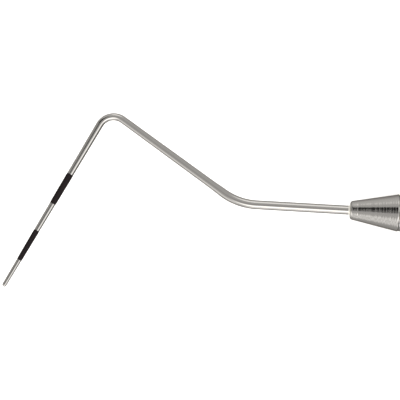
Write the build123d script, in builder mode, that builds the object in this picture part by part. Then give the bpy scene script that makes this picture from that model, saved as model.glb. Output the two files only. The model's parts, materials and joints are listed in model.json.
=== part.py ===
from build123d import *
import os
from math import cos, radians, sin, tan

# A hand probe with a bent, graduated steel tip that screws into a hollow handle.
#
# It lies on its side, as it would on a tray. The handle is round about the X axis,
# with its rear end towards +X. The tip points to -X and is bent in the XY plane:
# the wire rises to +Y, turns over, and its graduated end comes down to -Y.
# The origin is on the handle's axis, at the middle of its plain barrel.
# All sizes are in millimetres, and all angles in degrees.

# ---------------------------------------------------------------- driving sizes
# Graduations: bright, black, bright, black, each one step long, from the tip up.
# The enamel runs a little past the lower mark of each black step.
step = 3.0
band_overrun = 0.15
band_spans = {
    "band_3_to_6": (1 * step - band_overrun, 2 * step),
    "band_9_to_12": (3 * step - band_overrun, 4 * step),
}
recess_depth = 0.04
band_proud = 0.02

# Wire: straight runs between the corners of its centre line, and its bends.
graduated_run = 18.9
middle_run = 14.68
neck_run = 10.28
graduated_angle = 62.5
middle_angle = 32.8
tip_bend_radius = 1.48
neck_bend_radius = 5.7

# Wire radius: ground to a taper from the tip nearly to the neck bend. Just before
# that bend it swells to the drawn wire's own size, which the neck and tang keep.
# The tip's end is rounded a hair larger than the wire there.
tip_radius = 0.20
tip_round = 0.202
last_mark_radius = 0.30
tip_bend_wire = 0.335
ground_end_wire = 0.375
swell_length = 1.2
drawn_wire = 0.415
tang_depth = 6.0

# Nose cone and its screwed stud (M2: major radius 1.0, root relief below it).
cone_length = 4.47
cone_front_radius = 0.83
cone_back_radius = 1.70
cone_edge_radius = 0.28
cone_back_chamfer = 0.12
stud_radius = 1.0
stud_length = 4.4
stud_chamfer = 0.25
relief_radius = 0.78
relief_length = 0.5

# Braze fillet round the wire on the cone's face.
braze_radius = 0.60
braze_length = 0.16
braze_curve = 0.22

# Seal ring in the counterbore under the cone.
seal_section = 0.15
seal_radius = 0.96
seal_gap = 0.01
counterbore_radius = 1.20
counterbore_depth = 0.34

# Front ferrule.
collar_radius = 1.66
collar_length = 0.8
flare_length = 11.2
thread_clearance = 0.03
thread_depth = 5.2
drill_angle = 118.0
spigot_length = 9.0
spigot_chamfer = 0.4

# Handle tube, with two knurled grips between turned grooves.
handle_radius = 4.0
bore_radius = 3.2
tube_length = 112.0
knurl_mean_radius = 3.9
grip_length = 34.0
grip_margin = 3.0
groove_width = 0.6
groove_depth = 0.25
tube_chamfer = 0.12

# Rear cap, a domed plug.
cap_rim_length = 1.0
cap_dome_length = 3.4
cap_dome_radius = 4.6
cap_flat_radius = 1.6
cap_spigot_length = 7.0

# ---------------------------------------------------------------- worked-out places
tube_front = -tube_length / 2
tube_back = tube_length / 2
joint_x = tube_front - collar_length - flare_length
nose_x = joint_x - cone_length


def heading(angle):
    """Unit vector in the XY plane, at this angle from -X towards +Y."""
    return Vector(-cos(radians(angle)), sin(radians(angle)), 0)


neck_way = heading(0)
middle_way = heading(middle_angle)
graduated_way = heading(-graduated_angle)

nose = Vector(nose_x, 0, 0)
neck_corner = nose + neck_way * neck_run
tip_corner = neck_corner + middle_way * middle_run
tip = tip_corner + graduated_way * graduated_run

# How far each bend starts before its corner.
neck_bend_setback = neck_bend_radius * tan(radians(middle_angle / 2))
tip_turn = middle_angle + graduated_angle
tip_bend_setback = tip_bend_radius * tan(radians(tip_turn / 2))

graduated_length = graduated_run - tip_bend_setback
tip_plane = Plane(origin=tip, x_dir=-graduated_way, z_dir=(0, 0, 1))
tip_axis = Axis(tip, -graduated_way)


def taper(s):
    """Wire radius at distance s from the tip, along the graduated end."""
    last_mark = 4 * step
    if s <= last_mark:
        return tip_radius + (last_mark_radius - tip_radius) * s / last_mark
    past = (s - last_mark) / (graduated_length - last_mark)
    return last_mark_radius + (tip_bend_wire - last_mark_radius) * past


def across(point, way):
    """Plane square to the wire at this point, facing along it."""
    return Plane(origin=point, z_dir=way)


def write(builder, name):
    """Labels a finished piece and writes it as its own STEP file."""
    builder.part.label = name
    export_step(builder.part, f"parts/{name}.step")
    print(f"{name}: {builder.part.volume:.3f} mm3")


os.makedirs("parts", exist_ok=True)

# ---------------------------------------------------------------- probe wire
# One piece of hardened wire: the graduated end is ground to a taper with a recess
# for each black band, and the back end is the tang that the cone holds.
recess_points = []
for start, end in band_spans.values():
    recess_points += [
        (start, taper(start)),
        (start, taper(start) - recess_depth),
        (end, taper(end) - recess_depth),
        (end, taper(end)),
    ]

with BuildPart() as probe_wire:
    with BuildSketch(tip_plane):
        with BuildLine():
            shoulder = (tip_radius, taper(tip_radius))
            RadiusArc((0, 0), shoulder, tip_round)
            Polyline(
                shoulder,
                *recess_points,
                (graduated_length, tip_bend_wire),
                (graduated_length, 0),
                (0, 0),
            )
        make_face()
    revolve(axis=tip_axis)

    # Tight bend behind the graduated end: it turns about a centre below the corner.
    bend_end = tip_corner - middle_way * tip_bend_setback
    inward = Vector(-middle_way.Y, middle_way.X, 0)
    with BuildSketch(across(bend_end, middle_way)):
        Circle(tip_bend_wire)
    revolve(axis=Axis(bend_end + inward * tip_bend_radius, (0, 0, 1)), revolution_arc=tip_turn)

    # Middle run: tapers from the tight bend, then swells to the drawn wire's size.
    middle_start = neck_corner + middle_way * neck_bend_setback
    swell_end = middle_start + middle_way * swell_length
    with BuildSketch(across(bend_end, middle_way)):
        Circle(tip_bend_wire)
    with BuildSketch(across(swell_end, middle_way)):
        Circle(ground_end_wire)
    loft()
    with BuildSketch(across(swell_end, middle_way)):
        Circle(ground_end_wire)
    with BuildSketch(across(middle_start, middle_way)):
        Circle(drawn_wire)
    loft()

    # Open bend at the neck, about a centre above the corner.
    outward = Vector(middle_way.Y, -middle_way.X, 0)
    with BuildSketch(across(middle_start, middle_way)):
        Circle(drawn_wire)
    revolve(
        axis=Axis(middle_start + outward * neck_bend_radius, (0, 0, 1)),
        revolution_arc=middle_angle,
    )

    # Straight neck and tang.
    neck_start = neck_corner - neck_way * neck_bend_setback
    with BuildSketch(across(neck_start, -neck_way)):
        Circle(drawn_wire)
    extrude(amount=nose_x + tang_depth - neck_start.X)
write(probe_wire, "probe_wire")

# ---------------------------------------------------------------- black bands
# Each band is black enamel baked into its recess, just proud of the bright steel.
for name, (start, end) in band_spans.items():
    with BuildPart() as band:
        with BuildSketch(tip_plane):
            with BuildLine():
                Polyline(
                    (start, taper(start) - recess_depth),
                    (start, taper(start) + band_proud),
                    (end, taper(end) + band_proud),
                    (end, taper(end) - recess_depth),
                    close=True,
                )
            make_face()
        revolve(axis=tip_axis)
    write(band, name)

# ---------------------------------------------------------------- nose cone
# Turned steel cone, bored for the wire's tang, with the screwed stud behind it.
with BuildPart() as nose_cone:
    with BuildSketch():
        with BuildLine():
            Polyline(
                (nose_x, drawn_wire),
                (nose_x, cone_front_radius),
                (joint_x - cone_back_chamfer, cone_back_radius),
                (joint_x, cone_back_radius - cone_back_chamfer),
                (joint_x, relief_radius),
                (joint_x + relief_length, relief_radius),
                (joint_x + relief_length, stud_radius),
                (joint_x + stud_length - stud_chamfer, stud_radius),
                (joint_x + stud_length, stud_radius - stud_chamfer),
                (joint_x + stud_length, 0),
                (nose_x + tang_depth, 0),
                (nose_x + tang_depth, drawn_wire),
                close=True,
            )
        make_face()
    revolve(axis=Axis.X)
    front_rim = nose_cone.edges().group_by(Axis.X)[0].sort_by(SortBy.RADIUS)[-1]
    fillet(front_rim, cone_edge_radius)
write(nose_cone, "nose_cone")

# ---------------------------------------------------------------- braze fillet
# Silver braze that wicked round the wire where it enters the cone.
with BuildPart() as braze_fillet:
    with BuildSketch():
        with BuildLine():
            face_point = (nose_x, braze_radius)
            wire_point = (nose_x - braze_length, drawn_wire)
            RadiusArc(wire_point, face_point, -braze_curve)
            Polyline(face_point, (nose_x, drawn_wire), wire_point)
        make_face()
    revolve(axis=Axis.X)
write(braze_fillet, "braze_fillet")

# ---------------------------------------------------------------- seal ring
# Rubber ring round the stud's root, which keeps fluid out of the thread.
seal_x = joint_x + seal_section + seal_gap
with BuildPart() as seal_ring:
    with BuildSketch():
        with Locations((seal_x, seal_radius)):
            Circle(seal_section)
    revolve(axis=Axis.X)
write(seal_ring, "seal_ring")

# ---------------------------------------------------------------- front ferrule
# Turned flare from the slim collar to the handle, with the threaded socket in its
# nose and a spigot pressed into the tube.
socket_radius = stud_radius + thread_clearance
drill_point = socket_radius / tan(radians(drill_angle / 2))
with BuildPart() as front_ferrule:
    with BuildSketch():
        with BuildLine():
            Polyline(
                (joint_x, counterbore_radius),
                (joint_x, collar_radius),
                (joint_x + collar_length, collar_radius),
                (tube_front, handle_radius - tube_chamfer),
                (tube_front, bore_radius),
                (tube_front + spigot_length - spigot_chamfer, bore_radius),
                (tube_front + spigot_length, bore_radius - spigot_chamfer),
                (tube_front + spigot_length, 0),
                (joint_x + thread_depth + drill_point, 0),
                (joint_x + thread_depth, socket_radius),
                (joint_x + counterbore_depth, socket_radius),
                (joint_x + counterbore_depth, counterbore_radius),
                close=True,
            )
        make_face()
    revolve(axis=Axis.X)
write(front_ferrule, "front_ferrule")

# ---------------------------------------------------------------- handle tube
# Drawn tube. Each knurled grip is a cylinder at the knurl's mean radius, with a
# turned groove at both ends. The plain barrel is what lies between the grips.
grip_centre = tube_back - grip_margin - grip_length / 2
grip_cut = handle_radius - knurl_mean_radius
groove_offset = (grip_length - groove_width) / 2
with BuildPart() as handle_tube:
    with BuildSketch(Plane.YZ.offset(tube_front)):
        Circle(handle_radius)
        Circle(bore_radius, mode=Mode.SUBTRACT)
    extrude(amount=tube_length)
    end_rims = handle_tube.edges().filter_by(GeomType.CIRCLE).group_by(SortBy.RADIUS)[-1]
    chamfer(end_rims, tube_chamfer)
    with BuildSketch():
        for centre in (-grip_centre, grip_centre):
            with Locations((centre, handle_radius)):
                Rectangle(grip_length, 2 * grip_cut)
            groove_places = [(centre + side * groove_offset, handle_radius) for side in (-1, 1)]
            with Locations(*groove_places):
                Rectangle(groove_width, 2 * groove_depth)
    revolve(axis=Axis.X, mode=Mode.SUBTRACT)
write(handle_tube, "handle_tube")

# ---------------------------------------------------------------- rear cap
# Domed plug pressed into the tube's back end, with a small flat on its crown.
cap_end = tube_back + cap_rim_length + cap_dome_length
with BuildPart() as rear_cap:
    with BuildSketch():
        with BuildLine():
            rim_point = (tube_back + cap_rim_length, handle_radius)
            crown_point = (cap_end, cap_flat_radius)
            Polyline(
                (tube_back - cap_spigot_length, 0),
                (tube_back - cap_spigot_length, bore_radius - spigot_chamfer),
                (tube_back - cap_spigot_length + spigot_chamfer, bore_radius),
                (tube_back, bore_radius),
                (tube_back, handle_radius - tube_chamfer),
                (tube_back + tube_chamfer, handle_radius),
                rim_point,
            )
            RadiusArc(rim_point, crown_point, cap_dome_radius)
            Polyline(crown_point, (cap_end, 0), (tube_back - cap_spigot_length, 0))
        make_face()
    revolve(axis=Axis.X)
write(rear_cap, "rear_cap")
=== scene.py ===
# %% [markdown]
# # A graduated hand probe
#
# The probe is a thin steel wire, bent twice and ground to a taper, with two black
# bands that mark 3, 6, 9 and 12 mm from its tip. It is brazed into a small turned
# cone, and the cone screws into a hollow, knurled handle. This lesson builds its
# visible pieces one by one, in the way each would be made in a workshop: turned on a
# lathe, drawn and bent, rolled with a knurl, or filled with enamel.
#
# The measured model comes first. It is loaded as a fixed frame, and the places in this
# file are worked out from it and from a few sizes in millimetres, so that the pieces
# fit with nothing moved afterwards.

# %% Load the measured frame
import json
import math
import random

import bpy
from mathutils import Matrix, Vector


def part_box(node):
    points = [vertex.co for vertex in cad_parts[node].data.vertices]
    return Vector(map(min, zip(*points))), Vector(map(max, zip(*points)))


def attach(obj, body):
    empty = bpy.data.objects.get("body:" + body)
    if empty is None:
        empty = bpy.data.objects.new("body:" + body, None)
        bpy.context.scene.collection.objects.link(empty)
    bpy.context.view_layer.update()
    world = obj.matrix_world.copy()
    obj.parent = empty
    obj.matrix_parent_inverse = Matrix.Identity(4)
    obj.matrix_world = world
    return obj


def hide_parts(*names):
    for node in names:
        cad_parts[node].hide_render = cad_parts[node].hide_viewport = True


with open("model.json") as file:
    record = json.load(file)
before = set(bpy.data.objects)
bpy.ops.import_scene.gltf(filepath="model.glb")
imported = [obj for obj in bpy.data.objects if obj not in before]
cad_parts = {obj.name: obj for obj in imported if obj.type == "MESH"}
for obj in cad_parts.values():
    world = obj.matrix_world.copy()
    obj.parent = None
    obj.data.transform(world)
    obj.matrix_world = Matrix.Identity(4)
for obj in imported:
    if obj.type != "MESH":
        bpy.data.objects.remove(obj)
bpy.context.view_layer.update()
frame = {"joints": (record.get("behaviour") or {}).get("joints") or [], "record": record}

MM = 0.001
record = frame["record"]


def side(node, axis, end):
    """One side of a measured node's box, in millimetres: end 0 is the low side and 1 the high."""
    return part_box(node)[end][axis] / MM


nose_x = side("nose_cone", 0, 0)
joint_x = [j["pos_m"][0] for j in frame["joints"] if "pos_m" in j][0] / MM
tube_front = side("handle_tube", 0, 0)
tube_back = side("handle_tube", 0, 1)
handle_radius = record["mounts"][0]["dims"]["r_mm"]
print(f"cone from {nose_x:.2f} to {joint_x:.2f} mm, tube to {tube_back:.2f} mm")

# %% [markdown]
# ## Camera
#
# The probe lies on its side, so a camera straight above it sees the bends square on.
# A long lens from a quarter of a metre keeps the wire's width true from end to end.
# The camera is turned a little about its own axis, so the handle runs slightly
# downhill across the frame.

# %% Camera over the tip
camera_distance = 250 * MM
frame_width = 36.7 * MM
camera_roll = math.radians(3.3)
ahead_of_nose, beside_axis = 13.79, 0.14
frame_centre = Vector((nose_x - ahead_of_nose, beside_axis, 0)) * MM

bpy.ops.object.camera_add(
    location=frame_centre + Vector((0, 0, camera_distance)), rotation=(0, 0, camera_roll)
)
camera = bpy.context.object
camera.data.sensor_width = 36
camera.data.lens = camera.data.sensor_width * camera_distance / frame_width
camera.data.clip_start = 0.01
bpy.context.scene.camera = camera
bpy.context.scene.view_settings.view_transform = "Standard"
print(f"lens {camera.data.lens:.0f} mm")

# %% [markdown]
# ## Colours and nodes
#
# Colours are written as the hex values a designer would use, and one function turns
# them to the linear values that the shader works in. A second small function adds a
# node, sets it up and links it. A third starts a material, and a fourth covers it with
# the fine marks that nearly every finish has. Every material below is built from them.

# %% Helpers for materials


def linear(hex_colour):
    """An sRGB hex colour, such as '#c8c5c0', as linear red, green, blue and alpha."""
    parts = [int(hex_colour[i : i + 2], 16) / 255 for i in (1, 3, 5)]
    return [p / 12.92 if p <= 0.04045 else ((p + 0.055) / 1.055) ** 2.4 for p in parts] + [1]


def add(tree, kind, links=None, **settings):
    """Adds a node of this kind, sets its properties, and fills or links its inputs."""
    made = tree.nodes.new("ShaderNode" + kind)
    for name, value in settings.items():
        setattr(made, name, value)
    for key, value in (links or {}).items():
        if isinstance(value, bpy.types.NodeSocket):
            tree.links.new(value, made.inputs[key])
        else:
            made.inputs[key].default_value = value
    return made


def new_material(name, **shader):
    """An empty material with one Principled shader, and its constant sockets set."""
    material = bpy.data.materials.new(name)
    material.use_nodes = True
    surface = material.node_tree.nodes["Principled BSDF"]
    for key, value in shader.items():
        surface.inputs[key.replace("_", " ").title().replace("Ior", "IOR")].default_value = value
    return material, material.node_tree, surface


def mark_finely(tree, surface, spacing, depth, strength, detail=2.0, rings=False):
    """Covers a surface with marks, or with rings along X; spacing and depth are in mm."""
    place = add(tree, "TexCoord").outputs["Object"]
    dimensions, socket = "3D", "Vector"
    if rings:
        place = add(tree, "SeparateXYZ", {"Vector": place}).outputs["X"]
        dimensions, socket = "1D", "W"
    noise = {socket: place, "Scale": 1 / (spacing * MM), "Detail": detail}
    marks = add(tree, "TexNoise", noise, noise_dimensions=dimensions).outputs[0]
    relief = {"Height": marks, "Distance": depth * MM, "Strength": strength}
    tree.links.new(add(tree, "Bump", relief).outputs[0], surface.inputs["Normal"])


# %% [markdown]
# ## Floor and light
#
# Polished steel shows the room more than itself, so the light is built like a small
# product studio: a pale table, a big softbox at the front, a weaker one behind, two
# windows, grey walls, and dark patches for the camera, its stand and whoever works it.
# The world shader draws these by direction, which keeps their edges soft. The table
# and an overhead panel are hidden from reflections: they light only what is matt, and
# the panel brings the table up to white.

# %% Floor
table_top = side("handle_tube", 2, 0) * MM
table_size = 6
bpy.ops.mesh.primitive_plane_add(size=table_size, location=(0, 0, table_top))
floor = bpy.context.object
floor.name = "studio_table"
card, tree, surface = new_material("matt_white_card", base_color=linear("#f2f1ef"), roughness=0.9)
mark_finely(tree, surface, spacing=0.4, depth=0.02, strength=0.05, detail=3.0)
floor.data.materials.append(card)
floor.visible_glossy = False
print(f"table top at {table_top / MM:.1f} mm, just under the handle")

# %% A world with a grey wall above a darker table
world = bpy.data.worlds.new("small_studio")
bpy.context.scene.world = world
world.use_nodes = True
tree = world.node_tree
tree.nodes.clear()
facing = add(tree, "TexCoord").outputs["Generated"]

# The table's light passes into the wall's over a soft band, just below the horizon.
wall_light, table_light = 0.52, 0.46
table_edge = {"From Min": -0.45, "From Max": -0.05, "To Min": table_light, "To Max": wall_light}
height = add(tree, "SeparateXYZ", {"Vector": facing}).outputs["Z"]
room = add(tree, "MapRange", {"Value": height, **table_edge}, interpolation_type="SMOOTHSTEP")
total = room.outputs[0]
print(f"wall at {wall_light} of full light, table at {table_light}")

# %% Soft patches by direction
# Each patch: azimuth from +X towards +Y and angle from straight up, in degrees; the
# half-widths where it is full and where it has faded out; and the light it adds.
patches = {
    "front softbox": (-78, 45, 13, 27, 1.5),
    "front softbox, low end": (-84, 86, 10, 20, 0.62),
    "front shelf": (-106, 80, 6, 16, 0.22),
    "right of front": (-30, 43, 8, 27, 1.0),
    "back softbox": (84, 68, 9, 22, 0.75),
    "back wall": (108, 92, 20, 36, 0.1),
    "front left wall": (230, 70, 14, 28, 0.48),
    "table's lit corner": (202, 115, 14, 28, 0.7),
    "left window": (206, 82, 12, 24, 0.6),
    "right window": (22, 55, 12, 20, 1.3),
    "camera above": (0, 0, 4, 16, -0.12),
    "camera stand": (133, 34, 9, 14, -0.55),
    "stand's foot": (168, 25, 7, 13, -0.4),
    "photographer": (140, 56, 6, 12, -0.45),
    "left wall": (165, 60, 18, 40, -0.12),
    "doorway": (-24, 90, 14, 30, -0.34),
}

for name, (azimuth, polar, full, faded, light) in patches.items():
    a, p = math.radians(azimuth), math.radians(polar)
    towards = (math.sin(p) * math.cos(a), math.sin(p) * math.sin(a), math.cos(p))
    closeness = add(tree, "VectorMath", {0: facing, 1: towards}, operation="DOT_PRODUCT")
    fade = {
        "Value": closeness.outputs["Value"],
        "From Min": math.cos(math.radians(faded)),
        "From Max": math.cos(math.radians(full)),
        "To Max": light,
    }
    patch = add(tree, "MapRange", fade, interpolation_type="SMOOTHSTEP", label=name)
    total = add(tree, "Math", {0: total, 1: patch.outputs[0]}, operation="ADD").outputs[0]
total = add(tree, "Math", {0: total, 1: 0.0}, operation="MAXIMUM").outputs[0]
sky = add(tree, "Background", {"Color": linear("#fffdfa"), "Strength": total})
add(tree, "OutputWorld", {"Surface": sky.outputs[0]})
print(f"{len(patches)} soft patches round the table")

# %% Overhead panel
panel_height = 0.7
bpy.ops.object.light_add(type="AREA", location=(0, 0, panel_height))
panel = bpy.context.object
panel.name = "overhead_panel"
panel.data.shape = "RECTANGLE"
panel.data.size = 1.4
panel.data.size_y = 1.1
panel.data.energy = 12
panel.visible_glossy = False
panel.visible_camera = False
print(f"a panel of {panel.data.size} by {panel.data.size_y:.1f} m, {panel_height} m up")

# %% [markdown]
# ## A lathe made of two operators
#
# The cone, ferrule, cap, tube and rings are all turned parts. Each starts as a single
# vertex that is extruded along the profile, half of the outline that a drawing would
# show. Spinning that line once round the X axis gives the solid, as a lathe does. The
# seam and the points on the axis are then merged, and the normals are turned outwards.

# %% Select, draw and turn
WELD = 0.0004 * MM
ROUND_STEPS = 128


def take_up(*pieces):
    """Selects only these pieces, if any, and makes the last one active."""
    bpy.ops.object.select_all(action="DESELECT")
    for piece in pieces:
        piece.select_set(True)
        bpy.context.view_layer.objects.active = piece


def draw_line(name, profile):
    """Extrudes one vertex along (x, radius) points, in mm, and stays in edit mode."""
    take_up()
    points = [Vector((x, 0, radius)) * MM for x, radius in profile]
    bpy.ops.mesh.primitive_plane_add(size=MM, location=points[0])
    piece = bpy.context.object
    piece.name = name
    bpy.ops.object.transform_apply()
    bpy.ops.object.mode_set(mode="EDIT")
    bpy.ops.mesh.merge(type="CENTER")
    for near, far in zip(points, points[1:]):
        bpy.ops.mesh.extrude_region_move(TRANSFORM_OT_translate={"value": far - near})
    bpy.ops.mesh.select_all(action="SELECT")
    return piece


def weld_shut(piece):
    """Merges doubled vertices and turns every face outwards."""
    take_up(piece)
    bpy.ops.object.mode_set(mode="EDIT")
    bpy.ops.mesh.select_all(action="SELECT")
    bpy.ops.mesh.remove_doubles(threshold=WELD)
    bpy.ops.mesh.normals_make_consistent(inside=False)
    bpy.ops.object.mode_set(mode="OBJECT")
    return piece


def turn_on_lathe(name, profile, steps=ROUND_STEPS):
    """Turns a profile of (x, radius) points, in millimetres, round the X axis."""
    piece = draw_line(name, profile)
    bpy.ops.mesh.spin(steps=steps, angle=2 * math.pi, center=(0, 0, 0), axis=(1, 0, 0))
    bpy.ops.object.mode_set(mode="OBJECT")
    return weld_shut(piece)


# %% Break edges, shade and hand over
sharp_angle = 25


def ease_edges(piece, width):
    """Breaks the sharp edges, as a turner does with a file, so that they catch the light."""
    take_up(piece)
    bevel = piece.modifiers.new("eased", "BEVEL")
    bevel.width = width * MM
    bevel.segments = 3
    bevel.limit_method = "ANGLE"
    bevel.angle_limit = math.radians(sharp_angle)
    bpy.ops.object.modifier_apply(modifier=bevel.name)


def smooth(piece, angle=28):
    """Shades faces smooth where they meet at less than this angle, in degrees."""
    take_up(piece)
    bpy.ops.object.shade_smooth_by_angle(angle=math.radians(angle))


def hand_over(piece, body, node):
    """Mounts a finished piece on its body, in place of its measured node."""
    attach(piece, body)
    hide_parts(node)
    print(f"{piece.name}: {len(piece.data.polygons)} faces on {body}")


def arc(centre, radius, start, end, steps):
    """Points of a profile's rounded corner, with angles in degrees from the X axis."""
    turns = [math.radians(start + (end - start) * i / steps) for i in range(steps + 1)]
    x, r = centre
    return [(x + radius * math.cos(t), r + radius * math.sin(t)) for t in turns]


# %% [markdown]
# ## Probe wire
#
# The real wire is one length of hardened stainless steel. Its end is ground to a
# taper, and two recesses are ground in it for the bands. Here it starts as a disc at
# the tang's end and is drawn out towards the tip. Each straight stretch is one
# extrusion, with the new end scaled for the taper, and both bends are spun about their
# real centres, which keeps the section round where a curve with a bevel would pinch.

# %% Sizes of the wire
step = 3.0
graduated_run, middle_run, neck_run = 18.9, 14.68, 10.28
graduated_angle, middle_angle = 62.5, 32.8
tip_bend_radius, neck_bend_radius = 1.48, 5.7
tip_radius, last_mark_radius = 0.20, 0.30
tip_bend_wire, ground_end_wire = 0.335, 0.375
swell_length = 1.2
drawn_wire, tang_depth = 0.415, 6.0
recess_depth = 0.04
wire_sides, neck_bend_steps, tip_bend_steps = 56, 20, 32


def heading(degrees):
    """Unit vector at this angle from -X towards +Y, which is how the wire leaves the cone."""
    a = math.radians(degrees)
    return Vector((-math.cos(a), math.sin(a), 0))


nose = Vector((nose_x, 0, 0))
neck_corner = nose + heading(0) * neck_run
tip_corner = neck_corner + heading(middle_angle) * middle_run
tip = tip_corner + heading(-graduated_angle) * graduated_run
tip_turn = middle_angle + graduated_angle
neck_setback = neck_bend_radius * math.tan(math.radians(middle_angle / 2))
tip_setback = tip_bend_radius * math.tan(math.radians(tip_turn / 2))
graduated_length = graduated_run - tip_setback


def taper(s):
    """The ground wire's radius, in millimetres, at distance s from its tip."""
    last_mark = 4 * step
    if s <= last_mark:
        return tip_radius + (last_mark_radius - tip_radius) * s / last_mark
    past = (s - last_mark) / (graduated_length - last_mark)
    return last_mark_radius + (tip_bend_wire - last_mark_radius) * past


print(f"tip at {tip.x:.2f}, {tip.y:.2f}; the frame has {side('probe_wire', 0, 0):.2f}")

# %% Draw and bend the wire
take_up()
here = nose - heading(0) * tang_depth
radius = drawn_wire
bpy.ops.mesh.primitive_circle_add(
    vertices=wire_sides,
    radius=radius * MM,
    fill_type="NGON",
    location=here * MM,
    rotation=(0, math.pi / 2, 0),
)
wire = bpy.context.object
wire.name = "graduated_wire"
bpy.ops.object.transform_apply()
bpy.ops.object.mode_set(mode="EDIT")


def draw_to(there, new_radius):
    """Extrudes the selected end to a new centre and scales it to a new radius."""
    global here, radius
    bpy.ops.mesh.extrude_region_move(TRANSFORM_OT_translate={"value": (there - here) * MM})
    if new_radius != radius:
        scale = [new_radius / radius] * 3
        bpy.ops.transform.resize(value=scale, center_override=there * MM)
    here, radius = there, new_radius


def bend_round(centre, degrees, there, steps):
    """Spins the selected end about a centre; positive turns it from +X towards +Y."""
    global here
    turn = -math.radians(degrees)  # with no window, spin turns the other way
    bpy.ops.mesh.spin(steps=steps, angle=turn, center=centre * MM, axis=(0, 0, 1))
    here = there


draw_to(nose, drawn_wire)
draw_to(neck_corner - heading(0) * neck_setback, drawn_wire)
bend_round(
    here + Vector((0, neck_bend_radius, 0)),
    -middle_angle,
    neck_corner + heading(middle_angle) * neck_setback,
    neck_bend_steps,
)
draw_to(here + heading(middle_angle) * swell_length, ground_end_wire)
draw_to(tip_corner - heading(middle_angle) * tip_setback, tip_bend_wire)
inward = heading(middle_angle - 90)
bend_round(
    here + inward * tip_bend_radius,
    tip_turn,
    tip_corner + heading(-graduated_angle) * tip_setback,
    tip_bend_steps,
)
print(f"bent end at {here.x:.2f}, {here.y:.2f}")

# %% Grind the taper, the recesses and the rounded tip
recess_edge = 0.01
band_overrun = 0.15
bands = {
    "enamel_band_upper": (3 * step - band_overrun, 4 * step),
    "enamel_band_lower": (1 * step - band_overrun, 2 * step),
}
tip_steps = 8
last_disc = 0.08 * tip_radius


def at(s):
    """The point on the wire's axis at distance s from the tip."""
    return tip - heading(-graduated_angle) * s


for low, high in bands.values():
    draw_to(at(high), taper(high))
    draw_to(at(high - recess_edge), taper(high) - recess_depth)
    draw_to(at(low + recess_edge), taper(low) - recess_depth)
    draw_to(at(low), taper(low))
for i in range(tip_steps):
    turn = math.radians(90 * i / tip_steps)
    draw_to(at(tip_radius * (1 - math.sin(turn))), tip_radius * math.cos(turn))
draw_to(at(0), last_disc)
bpy.ops.mesh.merge(type="CENTER")
bpy.ops.object.mode_set(mode="OBJECT")
weld_shut(wire)
smooth(wire)
hand_over(wire, "tip", "probe_wire")

# %% [markdown]
# ## Black bands
#
# Black enamel is wiped into each recess and baked. It shrinks a little as it cures,
# so a band is slightly crowned, with soft shoulders at both ends. A band is turned
# about the X axis first, where its profile is easy to write, and then swung and moved
# into place on the wire.

# %% Bands
band_proud, band_shoulder, band_sink = 0.02, 0.05, 0.002
crown_steps = 14


def fill_recess(name, low, high):
    """Turns one band, then places it on the graduated end of the wire."""
    length = high - low
    profile = [(low + recess_edge, taper(low) - recess_depth - band_sink)]
    for i in range(crown_steps + 1):
        along = i / crown_steps
        edge = min(along, 1 - along) * length / band_shoulder
        lift = band_proud * math.sqrt(1 - (1 - min(edge, 1)) ** 2)
        profile.append((low + along * length, taper(low + along * length) + lift))
    profile.append((high - recess_edge, taper(high) - recess_depth - band_sink))
    profile.append(profile[0])
    band = turn_on_lathe(name, profile, wire_sides)
    smooth(band, 40)
    band.rotation_euler.z = math.radians(graduated_angle)
    band.location = tip * MM
    bpy.ops.object.transform_apply()
    return band


band_nodes = {"enamel_band_lower": "band_3_to_6", "enamel_band_upper": "band_9_to_12"}
band_pieces = [fill_recess(name, low, high) for name, (low, high) in bands.items()]
for band in band_pieces:
    hand_over(band, "tip", band_nodes[band.name])

# %% [markdown]
# ## Nose cone
#
# The cone is turned on a small lathe, and the tool's rings are left on it. They are
# real grooves, about a hundredth of a millimetre deep and a tenth apart, so they are
# cut into the profile and not only painted on. No two feeds are quite the same, so
# their depth and spacing come from seeded random numbers.

# %% Rings on the flank
ring_pitch, ring_depth, last_ring_room = 0.115, 0.012, 1.6
feed = random.Random(7)

# Least and most: a ring's width as a share of the pitch, its depth as a share of the
# full depth, and its valley's place as a share of its width.
widths, depths, valleys = (0.75, 1.3), (0.4, 1.0), (0.4, 0.65)


def ringed_flank(start, end):
    """Profile points from start to end, cut with uneven tool rings."""
    (x0, r0), (x1, r1) = start, end
    points, x = [start], x0
    while x < x1 - last_ring_room * ring_pitch:
        share = feed.uniform(*widths)
        cut = ring_depth * share * feed.uniform(*depths)
        valley = x + ring_pitch * share * feed.uniform(*valleys)
        x += ring_pitch * share
        for place, drop in ((valley, cut), (x, 0)):
            along = (place - x0) / (x1 - x0)
            points.append((place, r0 + (r1 - r0) * along - drop))
    return points + [end]


# %% Turn the cone
cone_front_radius, cone_back_radius = 0.83, 1.70
cone_edge_radius, cone_back_round = 0.28, 0.12
rounding_steps, back_rounded_to = 8, 10
cone_length = joint_x - nose_x
flare = math.degrees(math.atan((cone_back_radius - cone_front_radius) / cone_length))
relief_radius, relief_length, relief_slope = 0.78, 0.5, 0.02
stud_length, stud_chamfer, thread_root = 4.4, 0.1, 0.755
braze_gap = 0.002
bore_radius = drawn_wire + braze_gap

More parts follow.
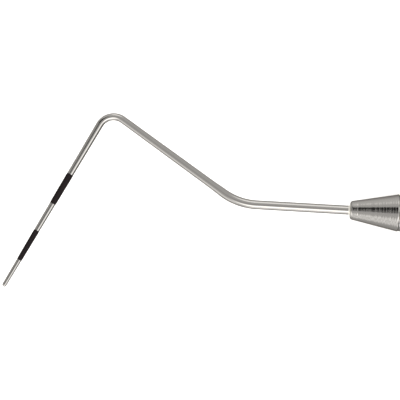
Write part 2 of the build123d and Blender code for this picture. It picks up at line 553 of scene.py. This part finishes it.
slope = math.radians(flare)
edge_drop = cone_edge_radius * (1 / math.cos(slope) - math.tan(slope))
edge_centre = (nose_x + cone_edge_radius, cone_front_radius - edge_drop)
front_edge = arc(edge_centre, cone_edge_radius, 180, 90 + flare, rounding_steps)
back_centre = (joint_x - cone_back_round, cone_back_radius - cone_back_round)
back_edge = arc(back_centre, cone_back_round, 90 + flare, back_rounded_to, rounding_steps)
cone_profile = [
    (nose_x + tang_depth, 0),
    (nose_x + tang_depth, bore_radius),
    (nose_x, bore_radius),
    *front_edge,
    *ringed_flank(front_edge[-1], back_edge[0])[1:],
    *back_edge[1:],
    (joint_x, relief_radius),
    (joint_x + relief_length, relief_radius),
    (joint_x + relief_length + relief_slope, thread_root),
    (joint_x + stud_length - stud_chamfer, thread_root),
    (joint_x + stud_length, thread_root - stud_chamfer),
    (joint_x + stud_length, 0),
]
cone = turn_on_lathe("turned_cone", cone_profile)
print(f"cone flares at {flare:.1f} degrees with {len(cone_profile)} points in its profile")

# %% [markdown]
# The stud behind the cone carries an M2 thread, 0.4 mm to a turn. Its ridge is a
# small closed outline that the Screw modifier sweeps along a helix. Both ends of the
# ridge are run out into the core, as a die leaves them.

# %% Sweep the stud's thread
thread_pitch, thread_turns, steps_per_turn = 0.4, 8.6, 48
crest_radius, crest_half_width = 1.0, 0.03
foot_sunk, foot_half_width, thread_gap = 0.02, 0.16, 0.2
foot_radius = thread_root - foot_sunk
thread_start = joint_x + relief_length + thread_gap
ridge_outline = [
    (thread_start - foot_half_width, foot_radius),
    (thread_start - crest_half_width, crest_radius),
    (thread_start + crest_half_width, crest_radius),
    (thread_start + foot_half_width, foot_radius),
]

ridge = draw_line("stud_thread", ridge_outline + ridge_outline[:1])
bpy.ops.mesh.remove_doubles(threshold=WELD)
bpy.ops.object.mode_set(mode="OBJECT")
helix = ridge.modifiers.new("helix", "SCREW")
helix.axis = "X"
helix.angle = 2 * math.pi * thread_turns
helix.screw_offset = thread_pitch * thread_turns * MM
helix.steps = helix.render_steps = int(steps_per_turn * thread_turns)
bpy.ops.object.modifier_apply(modifier=helix.name)
print(f"{thread_turns} turns of thread, {len(ridge.data.polygons)} faces")

# %% Run the thread out at both ends
# Both distances are in turns, from an end of the ridge: sunk in the core up to the
# first, and at its full height after the second.
sunk_until, full_after = 0.35, 0.85
ridge_low = min(v.co.x for v in ridge.data.vertices)
ridge_high = max(v.co.x for v in ridge.data.vertices)
for vertex in ridge.data.vertices:
    place = vertex.co
    from_end = min(place.x - ridge_low, ridge_high - place.x) / (thread_pitch * MM)
    rise = (from_end - sunk_until) / (full_after - sunk_until)
    above_foot = math.hypot(place.y, place.z) - foot_radius * MM
    sink = above_foot * (1 - min(1, max(0, rise)))
    place.yz *= 1 - sink / math.hypot(place.y, place.z)

bpy.ops.object.mode_set(mode="EDIT")
bpy.ops.mesh.select_all(action="DESELECT")
bpy.ops.mesh.select_non_manifold()
bpy.ops.mesh.edge_face_add()
bpy.ops.object.mode_set(mode="OBJECT")
take_up(ridge, cone)
bpy.ops.object.join()
smooth(cone, 24)
hand_over(cone, "tip", "nose_cone")

# %% [markdown]
# ## Braze fillet
#
# The wire is held in the cone with silver braze. It wicks round the joint and sets
# as a small concave collar, bright and a little uneven, as a liquid leaves it.

# %% Flow the braze
braze_radius, braze_length, braze_overlap = 0.60, 0.16, 0.01
braze_inside = drawn_wire - braze_overlap
spread_along, spread_out = 1.6, 2.0
hollow_steps = 8
braze_profile = [(nose_x, braze_inside), (nose_x - braze_length, braze_inside)]
for i in range(hollow_steps + 1):
    along = i / hollow_steps
    x = nose_x - braze_length * (1 - along) ** spread_along
    r = drawn_wire + (braze_radius - drawn_wire) * along**spread_out
    braze_profile.append((x, r))
braze = turn_on_lathe("silver_fillet", braze_profile + braze_profile[:1], steps=72)
smooth(braze, 60)
hand_over(braze, "tip", "braze_fillet")

# %% [markdown]
# ## Seal ring
#
# A small nitrile ring sits round the stud's root and keeps fluid out of the thread.
# It is moulded in two halves, so a thin ridge of flash runs round its outside where
# they meet.

# %% Mould the seal
seal_low, seal_high = side("seal_ring", 0, 0), side("seal_ring", 0, 1)
seal_section = (seal_high - seal_low) / 2
seal_centre = ((seal_low + seal_high) / 2, side("seal_ring", 2, 1) - seal_section)
flash_share, flash_half_angle = 0.03, 6
seal_start, seal_end = 90 + flash_half_angle, 450 - flash_half_angle
seal_profile = arc(seal_centre, seal_section * (1 - flash_share), seal_start, seal_end, 40)
flash = (seal_centre[0], seal_centre[1] + seal_section)
seal = turn_on_lathe("root_seal", seal_profile + [flash, seal_profile[0]], steps=96)
smooth(seal, 40)
hand_over(seal, "seal", "seal_ring")

# %% [markdown]
# ## Front ferrule
#
# The ferrule flares from the slim collar under the cone to the full handle. It is
# turned and polished, has the stud's socket in its nose, and a spigot that is pressed
# into the tube. The straight collar gives the flare a crisp start, and every edge is
# broken so that it shows as a fine bright line. The socket's own thread is hidden
# once the probe is screwed together, so the socket is left plain.

# %% Turn the ferrule
collar_radius, collar_length = 1.66, 0.8
counterbore_radius, counterbore_depth = 1.20, 0.34
socket_radius, socket_depth = 1.03, 5.2
spigot_radius, spigot_length, spigot_chamfer = 3.2, 9.0, 0.4
seam_chamfer, ferrule_edge = 0.12, 0.04
drill_half_angle = 59
drill_point = socket_radius / math.tan(math.radians(drill_half_angle))
ferrule_profile = [
    (joint_x + socket_depth + drill_point, 0),
    (joint_x + socket_depth, socket_radius),
    (joint_x + counterbore_depth, socket_radius),
    (joint_x + counterbore_depth, counterbore_radius),
    (joint_x, counterbore_radius),
    (joint_x, collar_radius),
    (joint_x + collar_length, collar_radius),
    (tube_front, handle_radius - seam_chamfer),
    (tube_front, spigot_radius),
    (tube_front + spigot_length - spigot_chamfer, spigot_radius),
    (tube_front + spigot_length, spigot_radius - spigot_chamfer),
    (tube_front + spigot_length, 0),
]
ferrule = turn_on_lathe("flared_ferrule", ferrule_profile)
ease_edges(ferrule, ferrule_edge)
smooth(ferrule)
hand_over(ferrule, "handle", "front_ferrule")

# %% [markdown]
# ## Knurled handle tube
#
# Both grips are rolled with a diamond knurl. The pattern is made as the wheels make
# it: a plain band is divided into squares, each square is poked to a cross, and the
# square's own edges are dissolved, which leaves a lattice of diamonds. Every diamond
# is then inset and raised by itself into a small blunt pyramid. Geometry is worth
# its cost here, because a knurl is seen in the outline of the handle too.

# %% Turn the tube
groove_width, groove_depth = 0.6, 0.25
grip_length, grip_margin = 34.0, 3.0
tube_bore, handle_edge = 3.2, 0.05
grip_floor = handle_radius - groove_depth
grip_centre = tube_back - grip_margin - grip_length / 2


def grip_outline(centre):
    """The tube's outline over one grip, turned down to the depth of its end grooves."""
    low, high = centre - grip_length / 2, centre + grip_length / 2
    return [(low, handle_radius), (low, grip_floor), (high, grip_floor), (high, handle_radius)]


tube_profile = [
    (tube_front, tube_bore),
    (tube_front, handle_radius - seam_chamfer),
    (tube_front + seam_chamfer, handle_radius),
    *grip_outline(-grip_centre),
    *grip_outline(grip_centre),
    (tube_back - seam_chamfer, handle_radius),
    (tube_back, handle_radius - seam_chamfer),
    (tube_back, tube_bore),
    (tube_front, tube_bore),
]
tube = turn_on_lathe("knurled_tube", tube_profile)
ease_edges(tube, handle_edge)
print(f"barrel between the grips is {2 * grip_centre - grip_length:.0f} mm long")

# %% Mark out the squares of a knurl
knurl_around = 36
knurl_root, knurl_crest = 3.77, 3.995
knurl_pitch = 2 * math.pi * knurl_root / knurl_around
knurl_height, crest_inset, skirt_depth = knurl_crest - knurl_root, 0.19, 0.1


def select_edges(mesh, wanted):
    """In object mode, selects only the edges for which wanted(start, end) is true."""
    for group in (mesh.vertices, mesh.edges, mesh.polygons):
        for item in group:
            item.select = False
    for edge in mesh.edges:
        start, end = (mesh.vertices[i].co for i in edge.vertices)
        edge.select = wanted(start, end)


def squared_sleeve(name, low, high):
    """An open cylinder between two places along X, divided into squares with crosses."""
    take_up()
    rows = round((high - low) / knurl_pitch)
    bpy.ops.mesh.primitive_cylinder_add(
        vertices=knurl_around,
        radius=knurl_root * MM,
        depth=(high - low) * MM,
        end_fill_type="NOTHING",
        location=((low + high) / 2 * MM, 0, 0),
        rotation=(0, math.pi / 2, 0),
    )
    sleeve = bpy.context.object
    sleeve.name = name
    bpy.ops.object.transform_apply()
    bpy.context.tool_settings.mesh_select_mode = (False, True, False)
    select_edges(sleeve.data, lambda a, b: abs(a.x - b.x) > knurl_pitch * MM)
    bpy.ops.object.mode_set(mode="EDIT")
    bpy.ops.mesh.subdivide(number_cuts=rows - 1)
    bpy.ops.mesh.select_all(action="SELECT")
    bpy.ops.mesh.poke()
    bpy.ops.object.mode_set(mode="OBJECT")
    print(f"{name}: {rows} rows of {knurl_around} squares")
    return sleeve


# %% Roll the knurl
near_enough = 0.01 * MM
same_turn = 0.001


def raise_diamonds(sleeve, low, high):
    """Dissolves the squares' edges to leave diamonds, and raises each to a blunt pyramid."""

    def is_square_edge(a, b):
        lengthwise = abs(math.atan2(a.z, a.y) - math.atan2(b.z, b.y)) < same_turn
        around = abs(a.x - b.x) < near_enough
        on_rim = around and min(a.x - low * MM, high * MM - a.x) < near_enough
        return (lengthwise or around) and not on_rim

    select_edges(sleeve.data, is_square_edge)
    take_up(sleeve)
    bpy.ops.object.mode_set(mode="EDIT")
    bpy.ops.mesh.dissolve_edges(use_verts=False)
    bpy.context.tool_settings.mesh_select_mode = (False, False, True)
    bpy.ops.mesh.select_all(action="SELECT")
    bpy.ops.mesh.inset(thickness=crest_inset * MM, depth=knurl_height * MM, use_individual=True)
    bpy.ops.object.mode_set(mode="OBJECT")


def close_inside(sleeve):
    """Folds both rims inwards and bridges them, so that the sleeve is a closed shell."""
    bpy.context.tool_settings.mesh_select_mode = (True, False, False)
    bpy.ops.object.mode_set(mode="EDIT")
    bpy.ops.mesh.select_all(action="DESELECT")
    bpy.ops.mesh.select_non_manifold()
    bpy.ops.mesh.extrude_region_move()
    shrink = (grip_floor - skirt_depth) / knurl_root
    bpy.ops.transform.resize(value=(1, shrink, shrink), center_override=(0, 0, 0))
    bpy.ops.mesh.bridge_edge_loops()
    bpy.ops.object.mode_set(mode="OBJECT")
    weld_shut(sleeve)


sleeves = []
half_knurl = grip_length / 2 - groove_width
for name, centre in (("front_knurl", -grip_centre), ("rear_knurl", grip_centre)):
    ends = (centre - half_knurl, centre + half_knurl)
    sleeve = squared_sleeve(name, *ends)
    raise_diamonds(sleeve, *ends)
    close_inside(sleeve)
    sleeves.append(sleeve)

take_up(*sleeves, tube)
bpy.ops.object.join()
smooth(tube, 22)
hand_over(tube, "handle", "handle_tube")

# %% [markdown]
# ## Rear cap
#
# The cap is a domed plug pressed into the tube. Its crown is turned flat, so that
# the probe can be marked or gripped there, and the dome meets its rim with a short
# straight band.

# %% Turn the cap
cap_end = side("rear_cap", 0, 1)
cap_rim_length, cap_flat_radius, cap_spigot_length = 1.0, 1.6, 7.0
cap_dome_radius, dome_steps = 4.6, 28
cap_spigot = tube_back - cap_spigot_length
rim_point = Vector((tube_back + cap_rim_length, handle_radius))
crown_point = Vector((cap_end, cap_flat_radius))
chord = crown_point - rim_point
drop = math.sqrt(cap_dome_radius**2 - (chord.length / 2) ** 2)
across = Vector((chord.y, -chord.x)).normalized()
dome_centre = (rim_point + crown_point) / 2 + across * drop
to_rim, to_crown = rim_point - dome_centre, crown_point - dome_centre
rim_angle = math.degrees(math.atan2(to_rim.y, to_rim.x))
crown_angle = math.degrees(math.atan2(to_crown.y, to_crown.x))
cap_profile = [
    (cap_spigot, 0),
    (cap_spigot, spigot_radius - spigot_chamfer),
    (cap_spigot + spigot_chamfer, spigot_radius),
    (tube_back, spigot_radius),
    (tube_back, handle_radius - seam_chamfer),
    (tube_back + seam_chamfer, handle_radius),
    *arc(dome_centre, cap_dome_radius, rim_angle, crown_angle, dome_steps),
    (cap_end, 0),
]
cap = turn_on_lathe("domed_cap", cap_profile)
ease_edges(cap, handle_edge)
smooth(cap)
hand_over(cap, "handle", "rear_cap")

# %% [markdown]
# ## Materials
#
# Five metals, one enamel and one rubber cover the whole probe. All the steels share
# one alloy colour, and differ in how their surface was made.

# %% Steels
steel = linear("#cdcbc8")


def metal(name, colour, roughness, edge_tint="#9a9894"):
    """A bare metal whose reflection darkens a little towards its edges."""
    return new_material(
        name,
        base_color=colour,
        metallic=1.0,
        roughness=roughness,
        specular_tint=linear(edge_tint),
    )


# Ground and polished wire: nearly a mirror, with fine marks from the polishing wheel.
# Real marks are ten times finer, and are drawn this coarse so that they can be seen.
wire_steel, tree, surface = metal("polished_stainless_wire", steel, 0.12)
mark_finely(tree, surface, spacing=0.12, depth=0.004, strength=0.12, detail=4.0)
wire.data.materials.append(wire_steel)

# Turned cone: rings as fine as the tool's feed lie over the cut ones, and draw the
# reflections out into soft streaks along the axis.
cone_steel, tree, surface = metal("fine_turned_stainless", steel, 0.16)
mark_finely(tree, surface, spacing=0.07, depth=0.01, strength=0.4, rings=True)
cone.data.materials.append(cone_steel)

# Turned and polished ferrule and cap: the rings are polished down until they only blur
# the reflections a little.
bright_steel, tree, surface = metal("turned_polished_stainless", steel, 0.15)
mark_finely(tree, surface, spacing=0.1, depth=0.01, strength=0.08, rings=True)
ferrule.data.materials.append(bright_steel)
cap.data.materials.append(bright_steel)

# %% Worn steel of the handle
# Knurled and satin-polished tube: the hand and the polishing mop reach the crests, so
# they are bright, and the valleys stay dull. The distance from the axis tells them apart.
valley_roughness, crest_roughness = 0.42, 0.2
satin_steel, tree, surface = metal("knurled_satin_stainless", steel, crest_roughness)
place = add(tree, "SeparateXYZ", {"Vector": add(tree, "TexCoord").outputs["Object"]}).outputs
flat = add(tree, "CombineXYZ", {"Y": place["Y"], "Z": place["Z"]})
from_axis = add(tree, "VectorMath", {0: flat.outputs[0]}, operation="LENGTH")
wear = {
    "Value": from_axis.outputs["Value"],
    "From Min": knurl_root * MM,
    "From Max": knurl_crest * MM,
    "To Min": valley_roughness,
    "To Max": crest_roughness,
}
tree.links.new(add(tree, "MapRange", wear).outputs[0], surface.inputs["Roughness"])
tube.data.materials.append(satin_steel)

# %% Silver
# Silver braze, flowed and pickled: the acid leaves a frosted skin of white silver, so
# part of the light is scattered as from a matt surface.
silver, tree, surface = new_material(
    "flowed_silver_braze", base_color=linear("#f1eee6"), metallic=0.7, roughness=0.4
)
mark_finely(tree, surface, spacing=0.15, depth=0.02, strength=0.4)
braze.data.materials.append(silver)

# %% Enamel and rubber
# Baked enamel: deep black with a soft, low sheen and the faint ripple of orange peel.
enamel, tree, surface = new_material(
    "baked_black_enamel", base_color=linear("#161112"), roughness=0.5, specular_ior_level=0.12
)
mark_finely(tree, surface, spacing=0.1, depth=0.01, strength=0.2)
for band in band_pieces:
    band.data.materials.append(enamel)

# Moulded nitrile rubber: a dull dark grey with the fine texture of its mould.
nitrile, tree, surface = new_material(
    "moulded_nitrile_rubber", base_color=linear("#262626"), roughness=0.55
)
mark_finely(tree, surface, spacing=0.08, depth=0.01, strength=0.3, detail=3.0)
seal.data.materials.append(nitrile)
print(f"{len(bpy.data.materials)} materials in the file")
